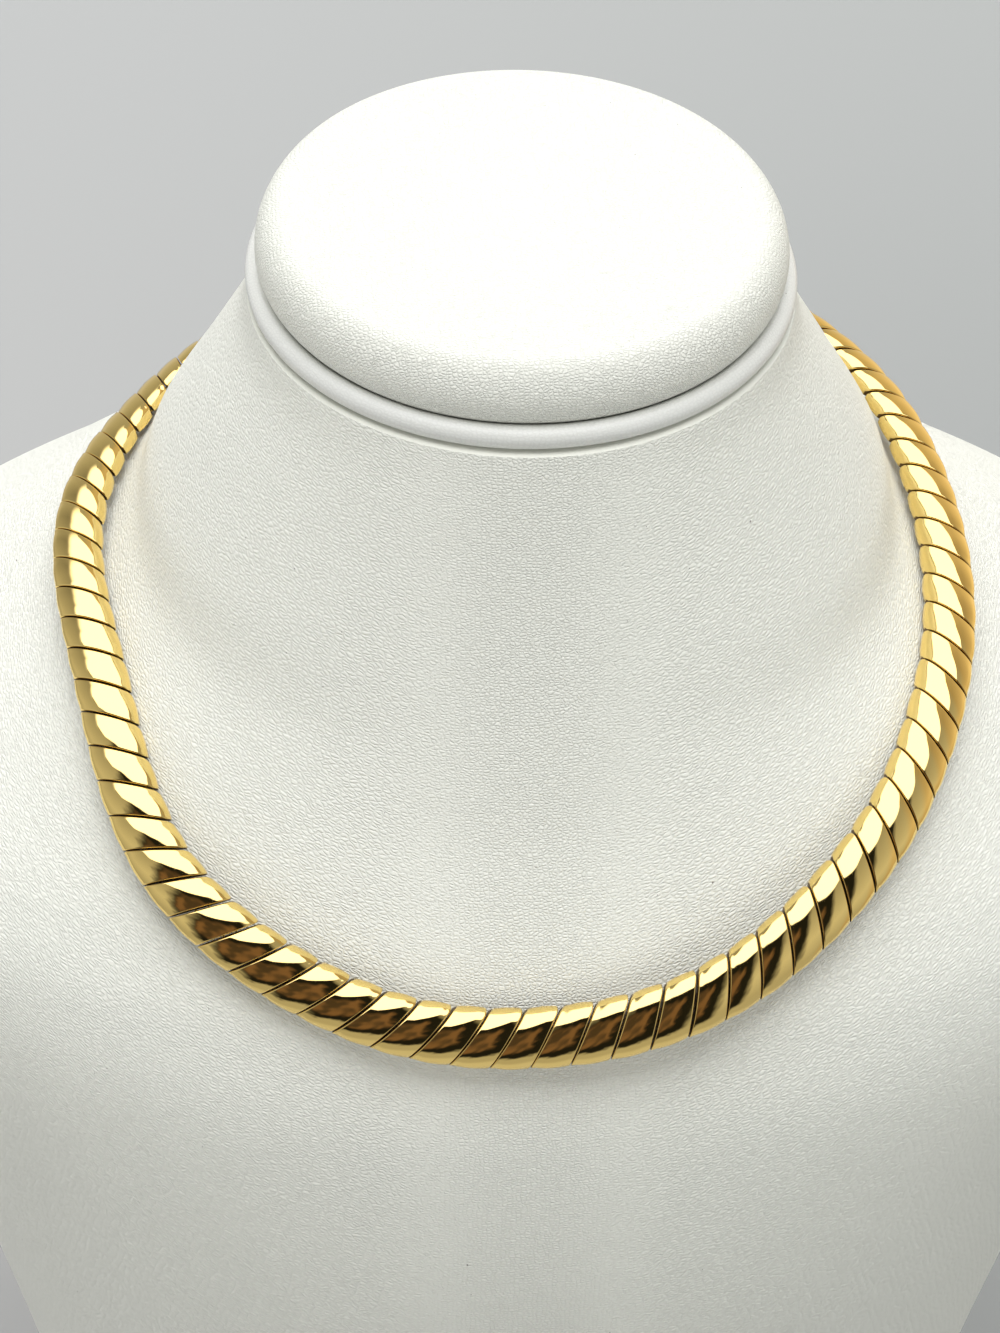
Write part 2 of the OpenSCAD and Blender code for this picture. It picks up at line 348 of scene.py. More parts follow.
# %% Frames along the route
STATIONS = np.array([
    # distance from the bust's middle, height, lean of the links below the level
    [65.0, 146.5, 70],
    [68.5, 153.0, 67],
    [69.5, 167.5, 46],
    [66.4, 182.7, 19],
    [61.8, 194.9, 9],
    [58.0, 204.1, 20],
    [52.5, 210.6, 52],
    [48.0, 212.3, 67],
    [46.7, 213.9, 71],
    [48.1, 211.7, 67],
    [54.0, 205.9, 56],
    [58.9, 200.0, 26],
    [63.9, 193.7, 6],
    [65.8, 183.2, 24],
    [71.0, 164.5, 47],
    [67.5, 150.5, 69],
])
STATION_TURN = 2 * math.pi / len(STATIONS)
SAMPLES_PER_STATION = 16
TANGENT_REACH = 0.02


def line_points(u):
    s = closed_rows(STATIONS, u)
    a = u * STATION_TURN
    return np.stack([s[:, 0]*np.sin(a), -s[:, 0]*np.cos(a), s[:, 1]], -1)


sample_places = np.arange(len(STATIONS) * SAMPLES_PER_STATION + 1) / SAMPLES_PER_STATION
sample_steps = np.linalg.norm(np.diff(line_points(sample_places), axis=0), axis=1)
sample_lengths = np.concatenate([[0], np.cumsum(sample_steps)])
LINE_TOTAL = sample_lengths[-1]
print("collar's middle line:", round(LINE_TOTAL, 1), "mm")


def line_frame(length):
    u = np.interp(np.atleast_1d(length) % LINE_TOTAL, sample_lengths, sample_places)
    a = u * STATION_TURN
    lean = np.radians(closed_rows(STATIONS, u)[:, 2])
    along = unit(line_points(u + TANGENT_REACH) - line_points(u - TANGENT_REACH))
    climb = np.stack([-np.sin(a)*np.cos(lean), np.cos(a)*np.cos(lean), np.sin(lean)], -1)
    across = unit(climb - (climb*along).sum(-1, keepdims=True)*along)
    return [v[0] for v in (line_points(u), along, across, np.cross(along, across))]


# %% [markdown]
# ## Where each link lies
# The collar is graded: its links are widest at the front and shrink towards the clasp. Each cut between two
# links is slanted by 30 degrees, and a link fills the plan between its two cuts, up to four corners.

# %% Corners of the links
LINK_WIDTH = 8.8
LINK_TAPER = 0.6
PITCH_TAPER = 0.26
LINK_SLANT = math.tan(math.radians(30))
LINK_GAP = 0.2
SIDE_LINKS = 40
FRONT_SHIFT = 0.4
CLASP_LENGTH = 13.0
DOME_SHARE = 0.385
WALL_SHARE = 0.235
SEAT_SHARE = 0.265


def graded(m):
    """How far place m lies from the front, in front pitches. The pitches shrink towards the clasp."""
    return m - math.copysign(1, m) * PITCH_TAPER * abs(m)**3 / (3 * (SIDE_LINKS + 1)**2)


FRONT_PITCH = (LINE_TOTAL - CLASP_LENGTH) / 2 / graded(SIDE_LINKS + 0.5)
print("pitch at the front:", round(FRONT_PITCH, 2), "mm")


def gap_at(m):
    return FRONT_PITCH * graded(m) - FRONT_SHIFT


def width_at(length):
    """The links' width at a length along the line, from the front round to the back."""
    way = min(abs(length), LINE_TOTAL - abs(length))
    return LINK_WIDTH * (1 - LINK_TAPER * (way / (LINE_TOTAL/2))**2)


def cut_point(length, b, clear):
    point, _, across, _ = line_frame(length + b*LINK_SLANT + clear)
    return point + b*across


def plate_between(l0, l1, width, height, seat):
    """The plan corners of a plate between two cuts, flattened into the frame at its middle."""
    middle, along, across, out = line_frame((l0 + l1) / 2)
    clear = LINK_GAP / 2 * math.hypot(1, LINK_SLANT)
    corners = {}
    places = {"outer_start": (l0, -1, clear), "outer_end": (l1, -1, -clear),
              "inner_end": (l1, 1, -clear), "inner_start": (l0, 1, clear)}
    for name, (length, side, gap) in places.items():
        p = cut_point(length, side * width/2, gap)
        corners[name] = p - out * np.dot(p - middle, out)
    return {"along": along, "across": across, "out": out, "width": width, "height": height, "seat": seat,
            "cuts": (l0, l1), **corners}


def link_plate(k):
    l0, l1 = gap_at(k - 0.5), gap_at(k + 0.5)
    width = width_at((l0 + l1) / 2)
    return plate_between(l0, l1, width, DOME_SHARE * width, SEAT_SHARE * DOME_SHARE * width)


# %% [markdown]
# ## One blank link
# A real link is a stamped or cast slab: domed across, a touch pillowed between its two cuts, with softened
# edges and straight walls. All 81 differ in size, so the blank is drawn in shares of the final link, from
# -1 to 1 each way. What stays the same size on every link, the rounding of corners and edges, is kept
# beside it as a true distance. Its points lie on a grid whose corners are bent into soft rounds.

# %% Lines of the blank
CORNER = 0.75
EDGE = 0.19
HOLD = 0.07
CORNER_STEPS = 4
CUT_STEPS = 18
CUT_BUNCH = 1.15
SIDE_STEPS = 8
SIDE_BUNCH = 0.5
FOOT_EDGE = 0.1
# How far below the rounded edge, in mm, the painted shade on the gap walls fades in
GAP_SHADE = 0.12
ROLL_ANGLES = np.radians([0, 22.5, 45, 67.5, 90])
# How round each corner is: 0 leaves it square, 1 makes a full quarter round
ROUNDNESS = {(-1, -1): 0.3, (1, -1): 0.3, (-1, 1): 1.0, (1, 1): 0.85}


def blank_lines(steps, bunch):
    """Lines of the grid as (share, reach into the corner zone), bunched towards the ends."""
    t = np.sin(np.linspace(-1, 1, steps + 1)[1:-1] * bunch) / math.sin(bunch)
    zone = [q / CORNER_STEPS for q in range(CORNER_STEPS + 1)]
    return [(-1, q) for q in zone[::-1]] + [(v, 0) for v in t] + [(1, q) for q in zone]


def blank_spot(u, v, inset):
    """A point of the outline or top as shares and distances, for an outline drawn in by the inset."""
    (su, qu), (sv, qv) = u, v
    radius = CORNER - inset
    roundness = ROUNDNESS[1 if su > 0 else -1, 1 if sv > 0 else -1]
    nu = qu * radius * math.sqrt(1 - roundness * qv * qv / 2)
    nv = qv * radius * math.sqrt(1 - roundness * qu * qu / 2)
    du = su * (nu - CORNER) if abs(su) == 1 else -su * CORNER
    dv = sv * (nv - CORNER) if abs(sv) == 1 else -sv * CORNER
    return (su, sv), (du, dv)


# %% [markdown]
# The blank keeps four named attributes: "share" and "rim" hold the two kinds of place, "top" marks the
# points that ride on the dome, and "in_gap" the walls that face the next link. Round the top's border run
# rings that roll over the edge, go down the wall and close the flat underside. The lug, the small eye under
# each end through which a joining ring passes, is a second blank: a flat eye with a short neck.

# %% Build the two blanks
def store(mesh, name, values):
    """Keeps one number or one vector per point as a named attribute."""
    vectors = np.ndim(values) == 2
    kind, field = ("FLOAT_VECTOR", "vector") if vectors else ("FLOAT", "value")
    mesh.attributes.new(name, kind, "POINT").data.foreach_set(field, np.ravel(values))


class Blank:
    """Points with their attributes and the faces between them."""

    def __init__(self):
        self.share, self.rim, self.top, self.in_gap, self.faces = [], [], [], [], []

    def add(self, share, rim, top, in_gap=0.0):
        self.share.append((*share, 0.0))
        self.rim.append([v * MM for v in rim])
        self.top.append(top)
        self.in_gap.append(in_gap)
        return len(self.share) - 1

    def join(self, inner, outer):
        n = len(inner)
        self.faces += [(inner[i], outer[i], outer[(i + 1) % n], inner[(i + 1) % n]) for i in range(n)]

    def made(self, name):
        mesh = bpy.data.meshes.new(name)
        mesh.from_pydata(self.share, [], self.faces)
        for key in ("share", "rim", "top", "in_gap"):
            store(mesh, key, getattr(self, key))
        mesh.shade_smooth()
        return bpy.data.objects.new(name, mesh)


def link_blank():
    blank = Blank()
    us = blank_lines(SIDE_STEPS, SIDE_BUNCH)
    vs = blank_lines(CUT_STEPS, CUT_BUNCH)
    last_u, last_v = len(us) - 1, len(vs) - 1
    index = {}
    for j, v in enumerate(vs):
        for i, u in enumerate(us):
            share, (du, dv) = blank_spot(u, v, EDGE + HOLD)
            index[i, j] = blank.add(share, (du, dv, 0), 1.0)
    for j in range(last_v):
        for i in range(last_u):
            blank.faces.append((index[i, j], index[i + 1, j], index[i + 1, j + 1], index[i, j + 1]))
    border = [(last_u, j) for j in range(last_v)] + [(i, last_v) for i in range(last_u, 0, -1)]
    border += [(0, j) for j in range(last_v, 0, -1)] + [(i, 0) for i in range(last_u)]
    rolls = [(EDGE * (1 - math.sin(t)), EDGE * (1 - math.cos(t)), 1.0) for t in ROLL_ANGLES]
    inner = [index[spot] for spot in border]
    walls = [(0, EDGE + GAP_SHADE, 1.0), (0, FOOT_EDGE, 0.0), (FOOT_EDGE, 0, 0.0)]
    for inset, drop, top in rolls + walls:
        ring = []
        for i, j in border:
            share, (du, dv) = blank_spot(us[i], vs[j], inset)
            # The wall rings at both cuts are marked in_gap, and the gold material paints them with shade
            in_gap = float((inset, drop, top) in walls and i in (0, last_u))
            ring.append(blank.add(share, (du, dv, drop), top, in_gap))
        blank.join(inner, ring)
        inner = ring
    blank.faces.append(tuple(inner))
    return blank.made("link_blank")


LUG_RADIUS = 0.62
LUG_HOLE = 0.4
LUG_THICK = 0.5
LUG_BITE = 0.3
LUG_DROP = 0.52
LUG_NECK_SHARE = 0.8
EYE_STEPS = 17
RING_RADIUS = 1.0


def lug_blank():
    half_neck = LUG_NECK_SHARE * LUG_RADIUS
    shoulder = math.acos(half_neck / LUG_RADIUS)
    turns = np.linspace(shoulder, -math.pi - shoulder, EYE_STEPS)
    outer = [(LUG_RADIUS * math.cos(t), LUG_RADIUS * math.sin(t)) for t in turns]
    outer += [(half_neck * s, LUG_DROP + LUG_BITE) for s in (-1, -0.5, 0, 0.5, 1)]
    blank = Blank()
    loops = []
    for side in (-1, 1):
        y = side * LUG_THICK / 2
        rim = [blank.add((0, 0), (x, y, z), 0.0) for x, z in outer]
        angles = [math.atan2(z, x) for x, z in outer]
        hole = [blank.add((0, 0), (LUG_HOLE * math.cos(t), y, LUG_HOLE * math.sin(t)), 0.0) for t in angles]
        blank.join(rim, hole)
        loops.append((rim, hole))
    blank.join(loops[0][0], loops[1][0])
    blank.join(loops[0][1], loops[1][1])
    return blank.made("lug_blank")


blank_link = link_blank()
blank_lug = lug_blank()
print("faces of the blanks:", len(blank_link.data.polygons), len(blank_lug.data.polygons))

# %% [markdown]
# ## A geometry nodes tree that lays the blanks on the line
# Modelling 81 links by hand would be slow, and an array modifier only repeats one size. Here every link is
# one point that carries its corners, directions and sizes. The tree puts a blank on each point, makes it
# real, and moves every vertex to its place: first across the plan, then up onto the dome. The dome across
# the link is an ellipse, and the pillow lowers it a little towards both cuts. It is that slight double
# curve which slants the reflections inside each link in the photograph.

# %% A small helper for node trees
class Nodes:
    """Adds nodes to a tree and links what is given as an output; plain values go on the sockets."""

    def __init__(self, tree):
        self.tree = tree
        self.at = 0

    def add(self, kind, values=(), outputs=0, **settings):
        node = self.tree.nodes.new(kind)
        node.location = (180 * (self.at % 12), -220 * (self.at // 12))
        self.at += 1
        for name, value in settings.items():
            setattr(node, name, value)
        self.give(node, dict(values))
        return node.outputs[outputs] if outputs is not None else node

    def give(self, node, values):
        for key, value in values.items():
            if isinstance(value, bpy.types.NodeSocket):
                self.tree.links.new(value, node.inputs[key])
            else:
                node.inputs[key].default_value = value

    def math(self, operation, *values):
        return self.add("ShaderNodeMath", dict(enumerate(values)), operation=operation)

    def vector(self, operation, *values):
        pairs = dict(enumerate(values))
        if operation == "SCALE":
            pairs = {0: values[0], "Scale": values[1]}
        out = "Value" if operation == "LENGTH" else 0
        return self.add("ShaderNodeVectorMath", pairs, outputs=out, operation=operation)

    def mix(self, share, a, b):
        return self.add("ShaderNodeMix", {0: share, 2: a, 3: b}, data_type="FLOAT")

    def mix_colour(self, share, a, b):
        return self.add("ShaderNodeMix", {0: share, 6: a, 7: b}, data_type="RGBA", outputs=2)


def inputs_of(tree, sockets):
    """Gives a tree named inputs with defaults."""
    for name, (kind, value) in sockets.items():
        socket = tree.interface.new_socket(name, in_out="INPUT", socket_type="NodeSocket" + kind)
        if value is not None:
            socket.default_value = value


# %% Build the tree
PLATE_VECTORS = ["outer_start", "outer_end", "inner_end", "inner_start", "along", "cut", "out"]
PLATE_FLOATS = ["half_width", "height", "seat", "lug"]
END_BULGE = 0.1
PILLOW = 0.038


def plate_tree():
    tree = bpy.data.node_groups.new("lay_plates_on_line", "GeometryNodeTree")
    tree.interface.new_socket("Geometry", in_out="OUTPUT", socket_type="NodeSocketGeometry")
    inputs_of(tree, {
        "Geometry": ("Geometry", None),
        "Link blank": ("Object", None),
        "Lug blank": ("Object", None),
        "Wall share": ("Float", WALL_SHARE),
        "End bulge": ("Float", END_BULGE * MM),
        "Pillow": ("Float", PILLOW / MM),
        "Finish": ("Material", None),
    })
    n = Nodes(tree)
    given = n.add("NodeGroupInput", outputs=None).outputs

    def attribute(name, kind="FLOAT"):
        return n.add("GeometryNodeInputNamedAttribute", {"Name": name}, data_type=kind)

    plates = []
    is_lug = n.add("FunctionNodeCompare", {0: attribute("lug"), 1: 0.5}, data_type="FLOAT",
                   operation="GREATER_THAN")
    is_link = n.add("FunctionNodeBooleanMath", {0: is_lug}, operation="NOT")
    for blank, chosen in (("Link blank", is_link), ("Lug blank", is_lug)):
        shape = n.add("GeometryNodeObjectInfo", {"Object": given[blank]}, outputs="Geometry")
        plates.append(n.add("GeometryNodeInstanceOnPoints",
                            {"Points": given["Geometry"], "Selection": chosen, "Instance": shape}))
    join = n.add("GeometryNodeJoinGeometry", outputs=None)
    for instances in plates:
        tree.links.new(instances, join.inputs[0])
    real = n.add("GeometryNodeRealizeInstances", {0: join.outputs[0]})

    v = {name: attribute(name, "FLOAT_VECTOR") for name in PLATE_VECTORS}
    share = n.add("ShaderNodeSeparateXYZ", {0: attribute("share", "FLOAT_VECTOR")}, outputs=None).outputs
    rim = n.add("ShaderNodeSeparateXYZ", {0: attribute("rim", "FLOAT_VECTOR")}, outputs=None).outputs
    half, height, seat = attribute("half_width"), attribute("height"), attribute("seat")
    to_end = n.math("MULTIPLY_ADD", share[0], 0.5, 0.5)
    to_inner = n.math("MULTIPLY_ADD", share[1], 0.5, 0.5)

    def mixed(a, b, t):
        return n.vector("ADD", a, n.vector("SCALE", n.vector("SUBTRACT", b, a), t))

    outer = mixed(v["outer_start"], v["outer_end"], to_end)
    inner = mixed(v["inner_start"], v["inner_end"], to_end)
    spot = mixed(outer, inner, to_inner)
    middle_ness = n.math("SUBTRACT", 1.0, n.math("MULTIPLY", share[0], share[0]))
    end_ness = n.math("MULTIPLY", share[1], n.math("POWER", n.math("ABSOLUTE", share[1]), 3.0))
    bulge = n.math("MULTIPLY", n.math("MULTIPLY", middle_ness, end_ness), given["End bulge"])
    spot = n.vector("ADD", spot, n.vector("SCALE", v["along"], rim[0]))
    spot = n.vector("ADD", spot, n.vector("SCALE", v["cut"], n.math("ADD", rim[1], bulge)))

    reach = n.math("ADD", share[1], n.math("DIVIDE", rim[1], half))
    arch = n.math("SQRT", n.math("MAXIMUM", n.math("SUBTRACT", 1.0, n.math("MULTIPLY", reach, reach)), 0.0))
    wall = n.math("MULTIPLY", height, given["Wall share"])
    dome = n.math("MULTIPLY_ADD", arch, n.math("SUBTRACT", height, wall), wall)
    length = n.vector("LENGTH", n.vector("SUBTRACT", v["outer_end"], v["outer_start"]))
    from_middle = n.math("MULTIPLY_ADD", n.math("MULTIPLY", share[0], 0.5), length, rim[0])
    fall = n.math("MULTIPLY", n.math("MULTIPLY", from_middle, from_middle), given["Pillow"])
    on_dome = n.math("SUBTRACT", n.math("SUBTRACT", dome, fall), rim[2])
    up = n.mix(attribute("top"), rim[2], on_dome)
    spot = n.vector("ADD", spot, n.vector("SCALE", v["out"], n.math("SUBTRACT", up, seat)))
    placed = n.add("GeometryNodeSetPosition", {"Geometry": real, "Position": spot})
    finished = n.add("GeometryNodeSetMaterial", {"Geometry": placed, "Material": given["Finish"]})
    n.add("NodeGroupOutput", {0: finished}, outputs=None)
    return tree


lay_plates = plate_tree()
print("nodes in the tree:", len(lay_plates.nodes))

# %% [markdown]
# ## The links, the back strings and the clasp
# Each of the 41 front links is a piece of its own, as in the CAD model. The 20 links of each back string
# lie behind the neck and stay one body. A point is written for every link and two for its lugs, and the
# tree is run once per piece. The result is stored as a plain mesh. The boxes of the fine pieces are then
# compared with the CAD nodes that they stand for.

# %% Lay the links
OWN_SIDE = 20
LINK_CREASE = 42
gold_tone = bpy.data.materials.new("gold_tone_polished")


def lug_points(plate):
    """The two lug holes of a plate, where the joining rings at its cuts pass through."""
    found = []
    for cut, side in zip(plate["cuts"], (1, -1)):
        point, along, _, out = line_frame(cut)
        seat = SEAT_SHARE * DOME_SHARE * width_at(cut)
        found.append(point - (seat + LUG_DROP)*out + side*RING_RADIUS*along)
    return found


def plate_rows(plate):
    cut = (plate["inner_start"] - plate["outer_start"] + plate["inner_end"] - plate["outer_end"]) / 2
    link = {name: plate[name] * MM for name in PLATE_VECTORS[:4]}
    link.update(along=plate["along"], cut=cut / plate["width"], out=plate["out"], lug=0.0,
                half_width=plate["width"]/2*MM, height=plate["height"]*MM, seat=plate["seat"]*MM)
    rows = [link]
    for hole in lug_points(plate):
        lug = {name: hole * MM for name in PLATE_VECTORS[:4]}
        lug.update(along=plate["along"], cut=plate["across"], out=plate["out"], lug=1.0,
                   half_width=MM, height=MM, seat=0.0)
        rows.append(lug)
    return rows


def plain_mesh(obj):
    """Evaluates the modifiers of an object and keeps the result as its only mesh."""
    graph = bpy.context.evaluated_depsgraph_get()
    mesh = bpy.data.meshes.new_from_object(obj.evaluated_get(graph))
    obj.modifiers.clear()
    obj.data = mesh
    for name in PLATE_VECTORS + PLATE_FLOATS + ["share", "rim", "top"]:
        if name in mesh.attributes:
            mesh.attributes.remove(mesh.attributes[name])
    turn_outwards(mesh)
    mesh.set_sharp_from_angle(angle=math.radians(LINK_CREASE))


def gold_piece(name, plates, node):
    rows = [row for plate in plates for row in plate_rows(plate)]
    mesh = bpy.data.meshes.new(name)
    mesh.from_pydata([tuple(row["outer_start"]) for row in rows], [], [])
    for key in PLATE_VECTORS + PLATE_FLOATS:
        store(mesh, key, [row[key] for row in rows])
    obj = bpy.data.objects.new(name, mesh)
    bpy.context.scene.collection.objects.link(obj)
    modifier = obj.modifiers.new("lay_plates", "NODES")
    modifier.node_group = lay_plates
    given = {"Link blank": blank_link, "Lug blank": blank_lug, "Finish": gold_tone}
    for item in lay_plates.interface.items_tree:
        if item.in_out == "INPUT" and item.name in given:
            modifier[item.identifier] = given[item.name]
    plain_mesh(obj)
    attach(obj, "root")
    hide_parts(node)
    axes = list(zip(*(v.co for v in obj.data.vertices)))
    found = [[min(a) for a in axes], [max(a) for a in axes]]
    return max(abs(a - b) for one, two in zip(found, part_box(node)) for a, b in zip(one, two)) / MM


CLASP_WIDTH = 5.2
CLASP_HEIGHT = 2.2


def clasp_plate():
    l0, l1 = gap_at(SIDE_LINKS + 0.5), LINE_TOTAL + gap_at(-SIDE_LINKS - 0.5)
    return plate_between(l0, l1, CLASP_WIDTH, CLASP_HEIGHT, SEAT_SHARE * DOME_SHARE * width_at(l0))


differences = {}
for k in range(-OWN_SIDE, OWN_SIDE + 1):
    node = f"link_{k + OWN_SIDE + 1:02d}"
    differences[node] = gold_piece("gold_" + node, [link_plate(k)], node)
left = [link_plate(k) for k in range(-SIDE_LINKS, -OWN_SIDE)]
right = [link_plate(k) for k in range(OWN_SIDE + 1, SIDE_LINKS + 1)]
differences["left string"] = gold_piece("gold_links_back_left", left, "links_back_left")
differences["right string"] = gold_piece("gold_links_back_right", right, "links_back_right")
differences["clasp"] = gold_piece("gold_clasp", [clasp_plate()], "clasp")
worst = max(differences, key=differences.get)
print("largest difference from a node's box:", round(differences[worst], 2), "mm at", worst)

# %% [markdown]
# ## The leatherette
# The cover is a coated cloth with an embossed pebble grain, a little over half a millimetre across. Where
# the sheet was pulled over the shoulders, the grain is drawn out into fine slanting wrinkles, mirrored left
# and right, and near the middle of the chest it stays round. An image texture would show its tiles. Here
# cells and noise make the grain on the map of the flat sheet, in true millimetres, so it follows the cloth
# round every bend. On the bust the map's only seam is at the back, where such a cover has one too.

# %% The grain as a shared group
def group_of(name, inputs, outputs):
    tree = bpy.data.node_groups.new(name, "ShaderNodeTree")
    inputs_of(tree, inputs)
    for output, kind in outputs.items():
        tree.interface.new_socket(output, in_out="OUTPUT", socket_type="NodeSocket" + kind)
    n = Nodes(tree)
    return tree, n, n.add("NodeGroupInput", outputs=None).outputs


def smooth_step(n, value, low, high):
    return n.add("ShaderNodeMapRange", {"Value": value, "From Min": low, "From Max": high},
                 interpolation_type="SMOOTHSTEP")


def noise(n, vector, scale, detail, roughness=0.5):
    values = {"Vector": vector, "Scale": scale, "Detail": detail, "Roughness": roughness}
    return n.add("ShaderNodeTexNoise", values)


def turned_and_stretched(n, vector, angle, stretch):
    turn = n.add("ShaderNodeMapping", {"Vector": vector, "Rotation": (0, 0, math.radians(angle))})
    return n.vector("MULTIPLY", turn, stretch)


GRAINS_PER_MM = 1.8
RANDOMNESS = 0.8
# Distances from a groove between which the grain rises
GROOVE = (-0.05, 0.36)
# Noise scales per millimetre: the drift of the cells, the finest bumps, the tone's patches and the specks
DRIFT_SCALE = 0.9
FINE_SCALE = 3.0
PATCH_SCALE = 0.04
SPECK_SCALE = 1.5
DRIFT = 0.6
FINE_SHARE = 0.6
SPECK_LEVELS = (0.90, 0.93)
# Factors on the map's two ways: below 1 a cell is drawn out that way, and above 1 it is squeezed
PEBBLE_STRETCH = (0.8, 1.15, 1.0)
WRINKLE_STRETCH = (0.5, 1.1, 1.0)
WRINKLE_ANGLE = 15
# Distances from the middle of the chest at which the wrinkles begin and are full
WRINKLES_FROM, WRINKLES_FULL = 3.0, 24.0
TONE = 0.955
PATCH_TONE = 0.03
# How much lighter the pebbles' tops are than the grooves between them: painted shade in the grooves
GROOVE_PAINTED_SHADE = 0.065


def grain_group():
    tree, n, given = group_of(
        "leather_grain",
        {"Vector": ("Vector", None), "Grains per mm": ("Float", GRAINS_PER_MM),
         "Wrinkle slant": ("Float", 1.0)},
        {"Height": "Float", "Tone": "Float", "Specks": "Float"})
    at = given["Vector"]
    across = n.add("ShaderNodeSeparateXYZ", {0: at}, outputs=None).outputs[0]
    cloud = n.add("ShaderNodeTexNoise", {"Vector": at, "Scale": DRIFT_SCALE, "Detail": 1.0},
                  outputs="Color")
    drift = n.vector("SUBTRACT", cloud, (0.5, 0.5, 0.5))
    wavy = n.vector("ADD", at, n.vector("SCALE", drift, DRIFT))

    def cells(vector):
        values = {"Vector": vector, "Scale": given["Grains per mm"], "Randomness": RANDOMNESS}
        edge = n.add("ShaderNodeTexVoronoi", values, voronoi_dimensions="2D", feature="DISTANCE_TO_EDGE",
                     outputs="Distance")
        return smooth_step(n, edge, *GROOVE)

    def drawn_out(angle):
        return cells(turned_and_stretched(n, wavy, angle, WRINKLE_STRETCH))

    on_right = smooth_step(n, across, -4.0, 4.0)
    wrinkles = n.mix(on_right, drawn_out(-WRINKLE_ANGLE), drawn_out(WRINKLE_ANGLE))
    beside = smooth_step(n, n.math("ABSOLUTE", across), WRINKLES_FROM, WRINKLES_FULL)
    share = n.math("MULTIPLY", beside, given["Wrinkle slant"])
    pebbles = cells(n.vector("MULTIPLY", wavy, PEBBLE_STRETCH))
    grain = n.mix(share, pebbles, wrinkles)
    height = n.math("MULTIPLY_ADD", noise(n, at, FINE_SCALE, 2.0), FINE_SHARE, grain)
    patchy = noise(n, at, PATCH_SCALE, 2.0)
    tone = n.math("MULTIPLY_ADD", n.math("SUBTRACT", patchy, 0.5), PATCH_TONE, TONE)
    # The grooves between the pebbles are darker: painted shade
    tone = n.math("MULTIPLY_ADD", grain, GROOVE_PAINTED_SHADE, tone)
    specks = smooth_step(n, noise(n, at, SPECK_SCALE, 0.0), *SPECK_LEVELS)
    n.add("NodeGroupOutput", {"Height": height, "Tone": tone, "Specks": specks}, outputs=None)
    return tree


def use_group(n, tree, values):
    return n.add("ShaderNodeGroup", values, outputs=None, node_tree=tree).outputs


def shader_of(material):
    material.use_nodes = True
    tree = material.node_tree
    return Nodes(tree), tree.nodes["Principled BSDF"]


SPECK = (0.25, 0.22, 0.2, 1)
LEATHER_SHINE = 0.4


def leather(name, colour, slant, depth, roughness):
    material = bpy.data.materials.new(name)
    n, shader = shader_of(material)
    at = n.add("ShaderNodeUVMap", uv_map="grain")
    made = use_group(n, grain_tree, {"Vector": at, "Grains per mm": GRAINS_PER_MM, "Wrinkle slant": slant})
    toned = n.vector("SCALE", colour, made["Tone"])
    speckled = n.mix_colour(made["Specks"], toned, SPECK)
    bump = n.add("ShaderNodeBump", {"Height": made["Height"], "Strength": 1.0, "Distance": depth})
    n.give(shader, {"Base Color": speckled, "Normal": bump, "Roughness": roughness,
                    "Specular IOR Level": LEATHER_SHINE})
    return material


grain_tree = grain_group()
WHITE = (0.855, 0.862, 0.787)
# The piping wears the same leatherette as the bust; its colour is painted darker, painted shade under the
# pad's edge
SHADED_PIPING_WHITE = (0.73, 0.736, 0.70)
for obj, name, colour, slant, depth, roughness in (
        # piece, its material, colour, share of slanting wrinkles, depth of the grain in mm, roughness
        (bust_cover, "white_leatherette_bust", WHITE, 1.0, 0.11, 0.42),
        (cap_cover, "white_leatherette_cap", WHITE, 0.0, 0.13, 0.45),
        (piping_bead, "white_leatherette_piping", SHADED_PIPING_WHITE, 0.0, 0.02, 0.3)):
    obj.data.materials.append(leather(name, colour, slant, depth * MM, roughness))
    print(obj.name, "wears", name)

# %% [markdown]
# ## The polished gold
# The links are plated and polished like mirrors, so their colour comes almost wholly from what they
# reflect. What keeps a mirror from looking like computer chrome is its small faults: the polish waves by a
# few hundredths of a millimetre, and hair-fine wear makes it a little duller in places. Both come from
# noise in a group. An attribute of the blank marks the walls of the gaps between links: there the gold is
# rougher, and its colour is painted dark, a painted shade for the shadow that fills the narrow gaps.

# %% Gold tone
# Roughness where the polish is worn and where it is new, and sizes of its faults as noise scales per metre
DULL = 0.11
BRIGHT = 0.045
WAVE_SCALE = 210.0
SCRATCH_SCALE = 3800.0
WEAR_SCALE = 420.0


def polish_group():
    tree, n, given = group_of(
        "gold_polish",
        {"Vector": ("Vector", None), "Dull": ("Float", DULL), "Bright": ("Float", BRIGHT)},
        {"Roughness": "Float", "Height": "Float"})
    at = given["Vector"]
    wave = noise(n, at, WAVE_SCALE, 1.0)
    scratches = noise(n, turned_and_stretched(n, at, 20, (1.0, 0.25, 0.25)), SCRATCH_SCALE, 2.0, 0.6)
    worn = noise(n, at, WEAR_SCALE, 2.0)
    mask = n.math("MULTIPLY", smooth_step(n, scratches, 0.55, 0.75), smooth_step(n, worn, 0.35, 0.7))
    roughness = n.mix(mask, given["Bright"], given["Dull"])
    n.add("NodeGroupOutput", {"Roughness": roughness, "Height": wave}, outputs=None)
    return tree


GOLD = (0.97, 0.72, 0.25, 1.0)
# Colour of the gap walls: painted shade for the shadow in the narrow gaps between links
GAP_PAINTED_SHADE = (0.16, 0.10, 0.04, 1.0)
GAP_ROUGHNESS = 0.4
LINK_WAVES = 0.06 * MM
RING_WAVES = 0.02 * MM


